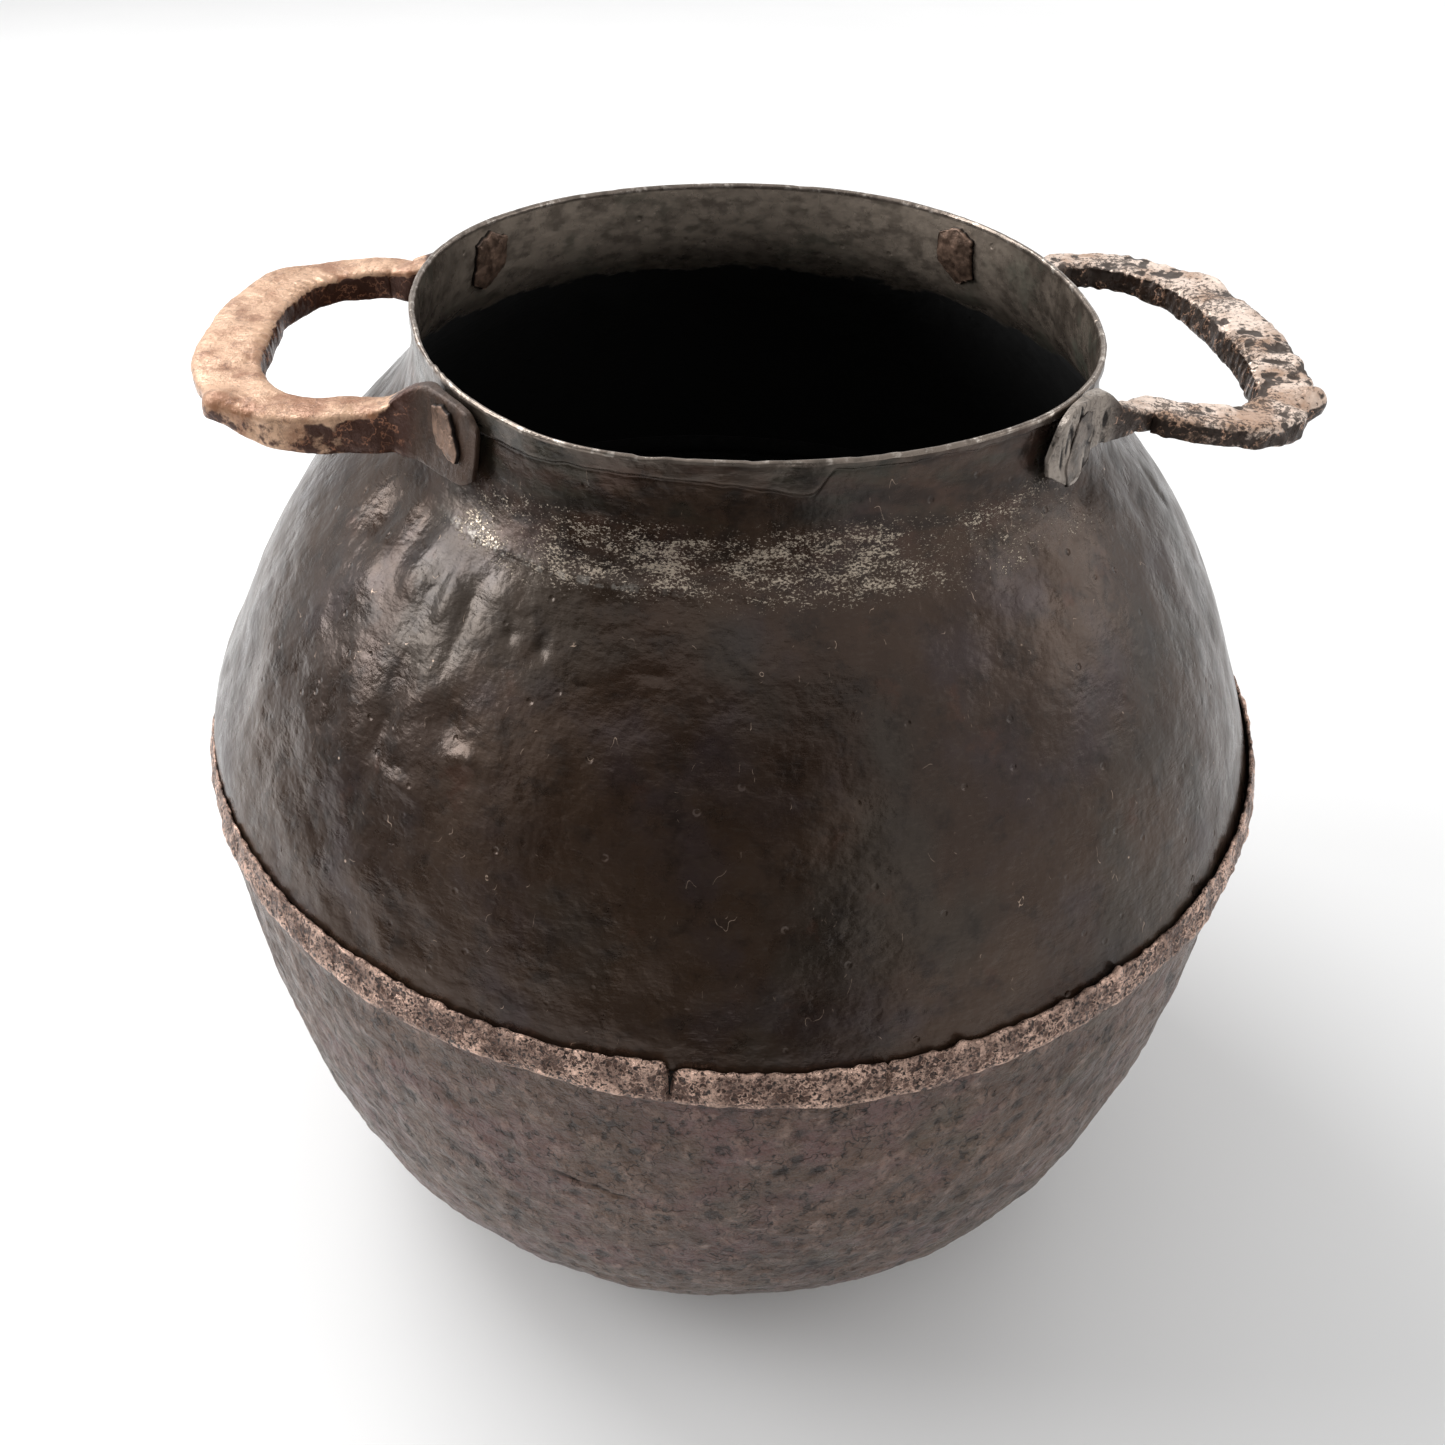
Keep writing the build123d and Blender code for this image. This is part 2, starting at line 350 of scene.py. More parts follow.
def hem_foot(theta):
    """Height of the lower edge of the folded rim round the pot."""
    degrees = np.degrees(theta)
    ring = turned(theta, NECK, 0)
    wander = 0.6 * grain(ring, 11, 31) + 0.35 * grain(ring, 3.5, 32)
    low = 352.2 + 1.6 * np.cos(math.radians(5) * (degrees + 112)) + wander
    low = low - 1.8 * bump(degrees, -88, 5)
    high = 356.8 + wander
    front = ramp(degrees, -86.5, -83)
    back = 353.6 + 0.8 * np.cos(3 * theta) + wander
    level = low * (1 - front) + high * front
    behind = ramp(np.abs(turn_gap(theta, -95)), 62, 75)
    return level * (1 - behind) + back * behind


def build_upper_shell(material):
    """Skirt, shoulder, neck and hemmed rim as one closed sheet."""
    outer_rows = 190
    hem_rows = 9
    crown_rows = 6
    inner_rows = 90
    line = smooth_line(SHOULDER, 600)
    run = np.linspace(0, 1, 600)
    ring = turned(THETA, NECK, 0)
    rim_jag = 0.5 * grain(ring, 9, 21) + 0.3 * grain(ring, 3.2, 22)
    torn = near(THETA, -157, 5.5)
    thin = ramp(np.degrees(THETA), -164, -158) * (1 - ramp(np.degrees(THETA), -92, -84))
    rim_top = TOTAL_HEIGHT - 1.2 + rim_jag * (0.5 + 0.9 * thin) - 1.3 * torn
    hem_depth = HEM_SHEET * (0.7 - 0.3 * thin) * (1 - torn)
    hem_place = np.interp(hem_foot(THETA), line[:, 1], run)
    rim_place = np.interp(rim_top, line[:, 1], run)
    sheet = Sheet(COLUMNS, ("hem", "crown", "inside"))

    def add(spot, out, rise, *masks):
        points, _ = skin(line, THETA, spot, shoulder_relief, out)
        points[:, 2] = points[:, 2] + rise
        sheet.add(points, *masks)

    for share in np.linspace(0, 1, outer_rows):
        groove = 0.35 * (1 - torn) if share == 1 else 0.0
        add(share * hem_place, -groove, 0, 0, 0, 0)
    for share in np.linspace(0, 1, hem_rows):
        edge = 0.45 if share == 0 else 1.0
        wave = 0.22 * grain(ring + UP * (9.0 * share), 7, 23)
        spot = hem_place + (rim_place - hem_place) * share
        add(spot, hem_depth * edge + wave * (1 - torn), 0, 1, ramp(share, 0.8, 1), 0)
    half = (UPPER_SHEET + hem_depth) / 2
    for step in range(1, crown_rows + 1):
        angle = math.pi * step / (crown_rows + 1)
        rise = 1.15 * math.sin(angle) * (0.55 + 0.45 * hem_depth / HEM_SHEET)
        add(rim_place, hem_depth - half + half * math.cos(angle), rise, 1, 1, 0)
    for share in np.linspace(1, 0, inner_rows):
        add(share**0.8 * rim_place, -UPPER_SHEET, 0, 0, 1 if share == 1 else 0, 1)
    faces = grid_faces(len(sheet.rows), COLUMNS, True)
    points = np.vstack(sheet.rows)
    masks = sheet.joined_masks()
    make_piece("upper_shell_sheet", "upper_shell", material, points, faces, masks)


# ---- lower bowl ------------------------------------------------------------
def crack_line(points, start, end, width):
    """1 along a thin wandering crack between two places given as (angle, height)."""
    theta = np.degrees(np.arctan2(points[:, 1], points[:, 0]))
    along = (theta - start[0]) / (end[0] - start[0])
    level = start[1] + (end[1] - start[1]) * along + 1.3 * grain(points, 7, 49)
    inside = ramp(along, 0, 0.12) * (1 - ramp(along, 0.88, 1))
    return bump(points[:, 2], level, width) * inside


def belly_relief(points):
    """Height of the rough, pitted outside of the lower bowl, and its pits and cracks alone."""
    z = points[:, 2]
    dents = 0.7 * dints(points, (13, 13, 15), 41, 0.5)
    pits = 0.8 * dints(points, (5, 5, 6), 42, 0.28)
    swell = 0.7 * rough(points, 60, 43, 2) + 0.4 * rough(points, 20, 45, 2)
    scale = 0.4 * rough(points, (5.4, 5.4, 7), 47, 3)
    crack = -0.9 * crack_line(points, (-111.5, 151.5), (-102.5, 145), 0.7)
    marks = pits + scale + crack
    return (swell + dents + marks) * ramp(z, 1.5, 22) * (1 - 0.75 * ramp(z, 192, 203)), marks


def bowl_line():
    """Outside of the lower bowl from the edge of the flat up to the ledge."""
    points = []
    for degrees in (0, 14, 28, 42, 55):
        turn = math.radians(degrees)
        points.append((BASE_FLAT + BOTTOM_ARC * math.sin(turn), BOTTOM_ARC * (1 - math.cos(turn))))
    return smooth_line(points + BELLY, 700)


def band_section():
    """Section of the folded edge: out from the ledge, round the fold, up to the raw edge."""
    fold = smooth_line([(190.2, 203.6), (191.3, 204.9), (192.2, 206.0), (192.5, 207.8), (192.1, 209.8)], 10)
    face = smooth_line([(192.1, 209.8), (191.3, 213.2), (190.6, 215.9), (190.0, 217.9)], 16)[1:]
    lip = np.array([(189.8, BAND_TOP), (189.2, BAND_TOP + 0.05), (188.8, BAND_TOP - 0.4)])
    return np.vstack([fold, face, lip])


def build_lower_bowl(material):
    """Round bottom, belly and the folded seam band as one closed sheet."""
    line = bowl_line()
    belly_rows = 240
    inner_rows = 60
    ring = turned(FINE, 190, 0)
    sheet = Sheet(FINE_COLUMNS, ("relief", "band", "inside"))
    flat_rings = (8.0, 22.0, 36.0, 50.0)
    for r in flat_rings:
        sheet.add(turned(FINE, r, 0.0), 0.5, 0, 0)
    for share in np.linspace(0, 1, belly_rows):
        points, marks = skin(line, FINE, share, belly_relief, 0)
        sheet.add(points, marks * 0.55 + 0.5, 0, 0)

    section = band_section()
    facing = line_normals(section)
    # the tear: a slit through the band, with the piece on its left standing higher
    tear = turn_gap(FINE, -99.8)
    crack = turn_gap(FINE, -81.2)
    left_high = 1.1 * (1 - ramp(tear, -0.15, 0.15)) * ramp(tear, -7, -1)
    raw_edge = 0.55 * grain(ring, 5.5, 51) + 0.45 * grain(ring, 2.1, 52)
    burrs = 1.6 * near(FINE, -74.6, 0.55) + 2.0 * near(FINE, -57.6, 0.5)
    burrs = burrs + 1.4 * near(FINE, -42.5, 0.7) + 1.2 * near(FINE, 61, 0.8)
    fold_wave = 0.75 * rough(ring, 26, 53, 2) + 0.35 * grain(ring, 7, 55)
    width_wave = 0.7 * rough(ring, 33, 57, 2)
    # on the left the band lies lower, behind the overhanging shoulder
    tucked = near(FINE, 174, 22)
    for i, (r, z) in enumerate(section):
        share = ramp(z, 207.5, BAND_TOP)
        low = 1 - ramp(z, 206.5, 214)
        here = turned(FINE, r, z)
        worked = 0.34 * rough(here, (2.6, 2.6, 3.4), 61, 2) + 0.30 * rough(here, (6.5, 6.5, 4.5), 64, 2)
        out = worked * ramp(z, 204.5, 207) + fold_wave * low * ramp(z, 203.8, 205.5)
        out = out - 2.2 * bump(tear, 0, 0.28) * ramp(z, 205, 208)
        out = out - 1.2 * bump(crack, 0, 0.16) * ramp(z, 208, 212)
        out = out + 0.5 * left_high - 1.2 * tucked * share
        rise = (raw_edge + burrs + left_high + width_wave * 0.6) * share
        rise = rise - width_wave * low * ramp(z, 204, 206) - 1.8 * bump(tear, 0.1, 0.5) * share
        rise = rise - 4.5 * tucked * share
        points = turned(FINE, r + facing[i, 0] * out, z + facing[i, 1] * out + rise)
        edge = 0.25 * ramp(z, 216.5, 218) + 0.2 * bump(z, 206.6, 1.4)
        relief = worked * 0.75 + 0.5 + edge - 0.6 * bump(tear, 0, 0.4)
        sheet.add(points, relief, ramp(z, 205.0, 206.4), 0)
    back = [(188.95, 216.0), (190.6, 208.4), (190.9, 207.5), (189.5, 207.3), (188.4, 207.3), (188.3, 205.0)]
    for r, z in back:
        sheet.add(turned(FINE, r, z), 0.2, 0, 1)
    for share in np.linspace(0.995, 0, inner_rows):
        points, marks = skin(line, FINE, share, belly_relief, -LOWER_SHEET)
        sheet.add(points, marks * 0.4 + 0.5, 0, 1)
    for r in reversed(flat_rings):
        sheet.add(turned(FINE, r, LOWER_SHEET), 0.5, 0, 1)

    ends = {"relief": [0.5, 0.5], "band": [0, 0], "inside": [0, 1]}
    masks = {name: np.append(values, ends[name]) for name, values in sheet.joined_masks().items()}
    points = np.vstack(sheet.rows + [[[0, 0, 0], [0, 0, LOWER_SHEET]]])
    faces = capped_faces(len(sheet.rows), FINE_COLUMNS)
    make_piece("lower_bowl_sheet", "lower_bowl", material, points, faces, masks)


# ---- solder bead inside the seam -------------------------------------------
def build_solder(material):
    """Lumpy bead that seals the seam from inside."""
    section = smooth_line(
        [(188.9, 207.5), (187.9, 212.4), (186.9, 212.9), (185.9, 209.6), (186.5, 206.2), (188.0, 204.4)], 18
    )
    ring = turned(THETA, 187, 0)
    rows = []
    for i, (r, z) in enumerate(section):
        swell = 0.5 * rough(ring + UP * (1.5 * i), 9, 71, 2) * ramp(-r, -188.2, -187)
        rows.append(turned(THETA, r - swell, z))
    faces = grid_faces(len(rows), COLUMNS, True)
    make_piece("seam_solder_bead", "seam_solder", material, np.vstack(rows), faces, {})


# ---- handles ---------------------------------------------------------------
def neck_radius(z):
    """Outside radius of the neck at a height."""
    line = smooth_line(SHOULDER, 400)
    return np.interp(z, line[:, 1], line[:, 0])


def build_handle(name, node, side, plan, look, material):
    """One forged loop: foot, arm, outer bar, arm and foot swept as a single bar.

    plan lists the middle of the bar from the -Y arm to the +Y arm as (x, y, width, top, bottom).
    look holds the two feet and the surface settings.
    """
    plan = np.array(plan)
    stations = 640
    around = 96
    feet = (look["front"], look["back"])
    # the middle line: along the neck under each foot, then out along the arm
    ends = []
    for sign, foot in zip((-1, 1), feet):
        found = []
        for angle, off in foot["path"]:
            turn = math.radians(sign * angle)
            out = FOOT_SEAT + off
            found.append((out * math.cos(turn), out * math.sin(turn)))
        ends.append(found)
    line = smooth_line(np.vstack([ends[0], plan[:, :2], ends[1][::-1]]), stations)
    step = np.linalg.norm(np.diff(line, axis=0), axis=1)
    run = np.concatenate([[0], np.cumsum(step)])
    total = run[-1]
    outward = line_normals(line)

    # width across the bar and its upper and lower edges, along the run
    nearest = [run[np.argmin(np.hypot(*(line - spot).T))] for spot in plan[:, :2]]
    width = np.interp(
        run,
        [0, 6, 20, *nearest, total - 20, total - 6, total],
        [1.6, 3.2, FOOT_THICKNESS, *plan[:, 2], FOOT_THICKNESS, 3.2, 1.6],
    )
    front, back = feet
    bar = slice(look["first_bar_point"], -2)
    marks = [*front["run"], *nearest[bar], *(total - v for v in reversed(back["run"]))]
    top = smooth_between(run, marks, [*front["top"], *plan[bar, 3], *reversed(back["top"])])
    low = smooth_between(run, marks, [*front["low"], *plan[bar, 4], *reversed(back["low"])])
    from_end = np.minimum(run, total - run)

    turn = np.linspace(0, 2 * math.pi, around, endpoint=False)
    square = 0.36
    across = np.sign(np.cos(turn)) * np.abs(np.cos(turn)) ** square
    upward = np.sign(np.sin(turn)) * np.abs(np.sin(turn)) ** square
    half = (top - low) / 2
    centre = (top + low) / 2
    shift = across[None, :] * width[:, None] / 2
    flat = line[:, None] + outward[:, None] * shift[:, :, None]
    z = centre[:, None] + upward[None, :] * half[:, None]
    # the outer lower edge of the bar is worn away
    outer_low = ramp(across, -0.3, 1) * (upward < 0)
    worn_edge = look["worn_edge"] * ramp(from_end, 62, 100)[:, None] * outer_low[None, :]
    z = z + worn_edge * np.abs(upward)[None, :]
    # feet follow the flare of the neck and stand off it a little
    foot = 1 - ramp(from_end, 22, 44)
    flare = (neck_radius(z) - neck_radius(FOOT_LEVEL)) * foot[:, None]
    from_axis = line / np.hypot(*line.T)[:, None]
    flat = flat + flare[:, :, None] * from_axis[:, None]
    points = np.dstack([flat, z]).reshape(-1, 3)

    # facing of the smooth bar, used to push the surface in and out
    sideways = np.column_stack([outward, 0 * run])
    facing = sideways[:, None] * np.cos(turn)[:, None] + UP * np.sin(turn)[:, None]
    facing = facing.reshape(-1, 3)
    seed = look["seed"]
    swell = 0.6 * rough(points, 18, seed, 2)
    dents = look["dent"] * dints(points, 9, seed + 3, 0.6)
    patchy = look["pit_spread"] + 0.5 * grain(points, 24, seed + 6)
    pits = 0
    for size, share, deep in look["pits"]:
        pits = pits + deep * dints(points, size, seed + int(10 * size), share + patchy)
    scale = look["scale"] * rough(points, 3.2, seed + 5, 3)
    splits = -0.5 * ramp(rough(points, (3.5, 3.5, 16), seed + 8, 2), 0.35, 0.8) * look["splits"]
    flat_foot = np.repeat(foot, around)
    relief = (swell + dents + pits) * (1 - 0.7 * flat_foot) + scale * (1 - 0.4 * flat_foot)
    relief = relief + splits * flat_foot
    inner = -(facing[:, :2] * np.repeat(from_axis, around, axis=0)).sum(1)
    points = points + facing * (relief * (1 - flat_foot * ramp(inner, 0, 0.4)))[:, None]

    # small notches beaten along the inner upper edge
    every = np.repeat(run, around)
    inner_top = np.tile(ramp(-across, 0.3, 0.95) * ramp(upward, -0.2, 0.8), stations)
    ripple = 0.5 + 0.5 * np.sin(2 * math.pi * every / 4.4 + 3.0 * grain(points, 12, seed + 20))
    for where, wide, deep in look["notches"]:
        cut = deep * ripple * inner_top * bump(every, where * total, wide)
        points = points - facing * cut[:, None]

    # knobs left at the corners of the bar
    for where, size, wide, level in look["knobs"]:
        hump = bump(every, where * total, wide) * np.tile(ramp(across, 0.0, 1), stations)
        hump = hump * ramp(np.tile(upward, stations), level - 0.6, level + 0.3)
        points = points + facing * (size * hump)[:, None]

    shine = ramp(facing[:, 2], 0.0, 0.75)
    out_side = np.tile(ramp(np.cos(turn), 0.3, 0.95), stations) * np.repeat(ramp(from_end, 46, 70), around)
    shine = shine + look["side_shine"] * out_side
    # near the foot the bar is kept dark: painted shade in the hollow where the arm meets its plate
    shine = shine * np.repeat(ramp(from_end, look["root_painted_shade"][0], look["root_painted_shade"][1]), around)
    cavity = ramp(-(pits + 0.5 * dents + scale), 0.12, look["cavity"])
    edge = np.tile(bump(np.abs(across * upward), 0.86, 0.16), stations)
    masks = {
        "worn": shine + 0.25 * edge * np.repeat(ramp(from_end, 30, 50), around),
        "cavity": cavity,
        "relief": 0.5 + 0.4 * relief,
        "foot": flat_foot,
    }

    tips = [points[:around].mean(0), points[-around:].mean(0)]
    points = np.vstack([points, tips])
    masks = {label: np.append(values, [values[0], values[-1]]) for label, values in masks.items()}
    faces = capped_faces(stations, around)
    if side < 0:
        points = points * np.array([-1, 1, 1.0])
        faces = [face[::-1] for face in faces]
    make_piece(name, node, material, points, faces, masks)


# ---- rivets ----------------------------------------------------------------
INNER_RISE = 2.2
SHANK = 3.1
SHANK_ENDS = (107.5, 114.0)


def head_grid(outline, rise, seed, rings, around):
    """Points of a beaten head over its outline: x runs round, y up, z is the height off the seat."""
    corner = np.array(outline, float)
    closed = np.vstack([corner, corner[:1]])
    span = np.linalg.norm(np.diff(closed, axis=0), axis=1)
    run = np.concatenate([[0], np.cumsum(span)])
    even = np.linspace(0, run[-1], around, endpoint=False)
    edge = np.stack([np.interp(even, run, closed[:, k]) for k in range(2)], 1)
    spots = np.column_stack([edge * 9, 0 * even])
    edge = edge + 0.35 * np.stack([grain(spots, 11, seed), grain(spots, 11, seed + 1)], 1)
    middle = edge.mean(0)
    rows = []
    for k in range(rings):
        share = (k + 1) / rings
        flat = middle + (edge - middle) * share
        height = rise * (1 - 0.25 * share**3)
        here = np.column_stack([flat, 0 * even])
        fold = 0.35 * ramp(flat[:, 0] - 0.25 * flat[:, 1], 0.4, 1.4)
        height = height + 0.32 * rough(here, 4, seed + 2, 3) - fold
        rows.append(np.column_stack([flat, height]))
    for drop in (0.62, 0.25, -0.4):
        grow = 1.0 + 0.045 * (0.62 - drop)
        flat = middle + (edge - middle) * grow
        rows.append(np.column_stack([flat, np.full(around, drop * rise)]))
    return middle, np.vstack(rows), len(rows)


def build_rivet(name, node, degrees, lean, height, outer_rise, outer, inner, material):
    """Beaten heads inside and outside the neck, and the shank between them.

    degrees is the rivet's direction; lean is 1, or -1 where the outlines are mirrored.
    """
    around = 96
    rings = 18
    parts = []
    seed = 300 + int(abs(degrees))
    for outline, rise, outside in ((outer, outer_rise, True), (inner, INNER_RISE, False)):
        outline = [(lean * x, y) for x, y in outline]
        middle, local, count = head_grid(outline, rise, seed, rings, around)
        seat = FOOT_THICKNESS + 1.3 if outside else -UPPER_SHEET - 0.1
        low_point = [[middle[0], middle[1], -0.4 * rise]]
        spots = np.vstack([local, [[middle[0], middle[1], rise]], low_point])
        z = height + spots[:, 1]
        radius = neck_radius(z) + (seat + spots[:, 2] if outside else seat - spots[:, 2])
        angle = math.radians(degrees) + spots[:, 0] / NECK
        points = np.column_stack([radius * np.cos(angle), radius * np.sin(angle), z])
        relief = 0.5 + 0.8 * (spots[:, 2] / rise - 0.8)
        parts.append((points, relief, capped_faces(count, around)))
        seed = seed + 9
    sides = 24
    turn = np.linspace(0, 2 * math.pi, sides, endpoint=False)
    ray = np.array([math.cos(math.radians(degrees)), math.sin(math.radians(degrees)), 0])
    side = np.array([-ray[1], ray[0], 0])
    ring = SHANK * (np.outer(np.cos(turn), side) + np.outer(np.sin(turn), UP)) + UP * height
    shank = np.vstack([ring + ray * depth for depth in SHANK_ENDS])
    ends = [list(reversed(range(sides))), list(range(sides, 2 * sides))]
    parts.append((shank, np.full(2 * sides, 0.5), grid_faces(2, sides, False) + ends))
    faces = []
    base = 0
    for points, _, own_faces in parts:
        faces += [[v + base for v in face] for face in own_faces]
        base += len(points)
    points = np.vstack([part[0] for part in parts])
    masks = {"relief": np.concatenate([part[1] for part in parts])}
    make_piece(name, node, material, points, faces, masks)


# ---- materials -------------------------------------------------------------
class Nodes:
    """Small helper for building a node material."""

    def __init__(self, name):
        self.material = bpy.data.materials.new(name)
        self.material.use_nodes = True
        self.tree = self.material.node_tree
        self.tree.nodes.clear()
        self.out = self.add("ShaderNodeOutputMaterial")
        self.shader = self.add("ShaderNodeBsdfPrincipled")
        self.link(self.shader, "BSDF", self.out, "Surface")
        self.place = self.add("ShaderNodeTexCoord")
        self.base = None

    def add(self, kind, **values):
        node = self.tree.nodes.new(kind)
        for key, value in values.items():
            if key in node.inputs:
                node.inputs[key].default_value = value
            else:
                setattr(node, key, value)
        return node

    def link(self, a, a_name, b, b_name):
        self.tree.links.new(a.outputs[a_name], b.inputs[b_name])

    def stretched(self, scale):
        """Object position with a scale on each axis."""
        mapping = self.add("ShaderNodeMapping", Scale=scale)
        self.link(self.place, "Object", mapping, "Vector")
        return mapping

    def noise(self, size, detail=4.0, stretch=(1, 1, 1), rough=0.55):
        """Noise whose lumps are size millimetres wide."""
        node = self.add("ShaderNodeTexNoise", Scale=1000.0 / size, Detail=detail, Roughness=rough)
        self.link(self.stretched(stretch), "Vector", node, "Vector")
        return node.outputs["Fac"]

    def cells(self, size, stretch=(1, 1, 1)):
        """Distance to scattered points about size millimetres apart."""
        node = self.add("ShaderNodeTexVoronoi", Scale=1000.0 / size)
        self.link(self.stretched(stretch), "Vector", node, "Vector")
        return node.outputs["Distance"]

    def threads(self, size, width, detail=2.0, stretch=(1, 1, 1)):
        """1 along thin winding lines about size millimetres apart, 0 between them."""
        off = self.maths("ABSOLUTE", self.maths("SUBTRACT", self.noise(size, detail, stretch), 0.5), 0.0)
        return self.span(off, width, 0.0)

    def mask(self, name):
        """Value of a named vertex mask."""
        node = self.add("ShaderNodeAttribute", attribute_name=name)
        return node.outputs["Fac"]

    def axis(self, name):
        """X, Y or Z of the surface in metres."""
        split = self.add("ShaderNodeSeparateXYZ")
        self.link(self.place, "Object", split, "Vector")
        return split.outputs[name]

    def fill(self, socket, value):
        """Sets a socket to a number or a colour, or links it."""
        if isinstance(value, (int, float)):
            socket.default_value = value
        elif isinstance(value, tuple):
            socket.default_value = (*value, 1.0)
        else:
            self.tree.links.new(value, socket)

    def span(self, value, low, high, to_low=0.0, to_high=1.0):
        """Eases from to_low to to_high while value goes from low to high."""
        node = self.add("ShaderNodeMapRange", interpolation_type="SMOOTHSTEP")
        names = ("Value", "From Min", "From Max", "To Min", "To Max")
        for name, given in zip(names, (value, low, high, to_low, to_high)):
            self.fill(node.inputs[name], given)
        return node.outputs["Result"]

    def maths(self, operation, a, b):
        node = self.add("ShaderNodeMath", operation=operation)
        self.fill(node.inputs[0], a)
        self.fill(node.inputs[1], b)
        return node.outputs[0]

    def times(self, *values):
        """Product of several values."""
        total = values[0]
        for value in values[1:]:
            total = self.maths("MULTIPLY", total, value)
        return total

    def mix(self, share, a, b):
        """Colour a where share is 0, colour b where it is 1."""
        node = self.add("ShaderNodeMix", data_type="RGBA")
        for index, value in ((0, share), (6, a), (7, b)):
            self.fill(node.inputs[index], value)
        return node.outputs[2]

    def tint(self, share, *screen):
        """Turns the base colour towards a screen colour."""
        self.base = self.mix(share, self.base, colour(*screen))

    def bumps(self, heights):
        """Chain of bump nodes from (height, depth in millimetres)."""
        normal = None
        for value, depth in heights:
            node = self.add("ShaderNodeBump", Strength=1.0, Distance=depth * MM)
            self.fill(node.inputs["Height"], value)
            if normal is not None:
                self.fill(node.inputs["Normal"], normal)
            normal = node.outputs["Normal"]
        self.fill(self.shader.inputs["Normal"], normal)

    def finish(self, metal, dull, heights):
        """Sets the shader's sockets and returns the material."""
        for name, value in (("Base Color", self.base), ("Metallic", metal), ("Roughness", dull)):
            self.fill(self.shader.inputs[name], value)
        if heights:
            self.bumps(heights)
        return self.material


def colour(red, green, blue):
    """Linear colour from the 0 to 255 values a screen shows."""
    linear = []
    for value in (red, green, blue):
        v = value / 255
        linear.append(v / 12.92 if v <= 0.04045 else ((v + 0.055) / 1.055) ** 2.4)
    return tuple(linear)


# near black of the deep inside: dark patina and painted shade; below, the heights where its edge on the neck
# begins and ends
PATINA_AND_SHADE_BLACK = (0.0012, 0.0011, 0.0011)
SHADE_EDGE_LOW = 0.3205
SHADE_EDGE_TOP = 0.3240


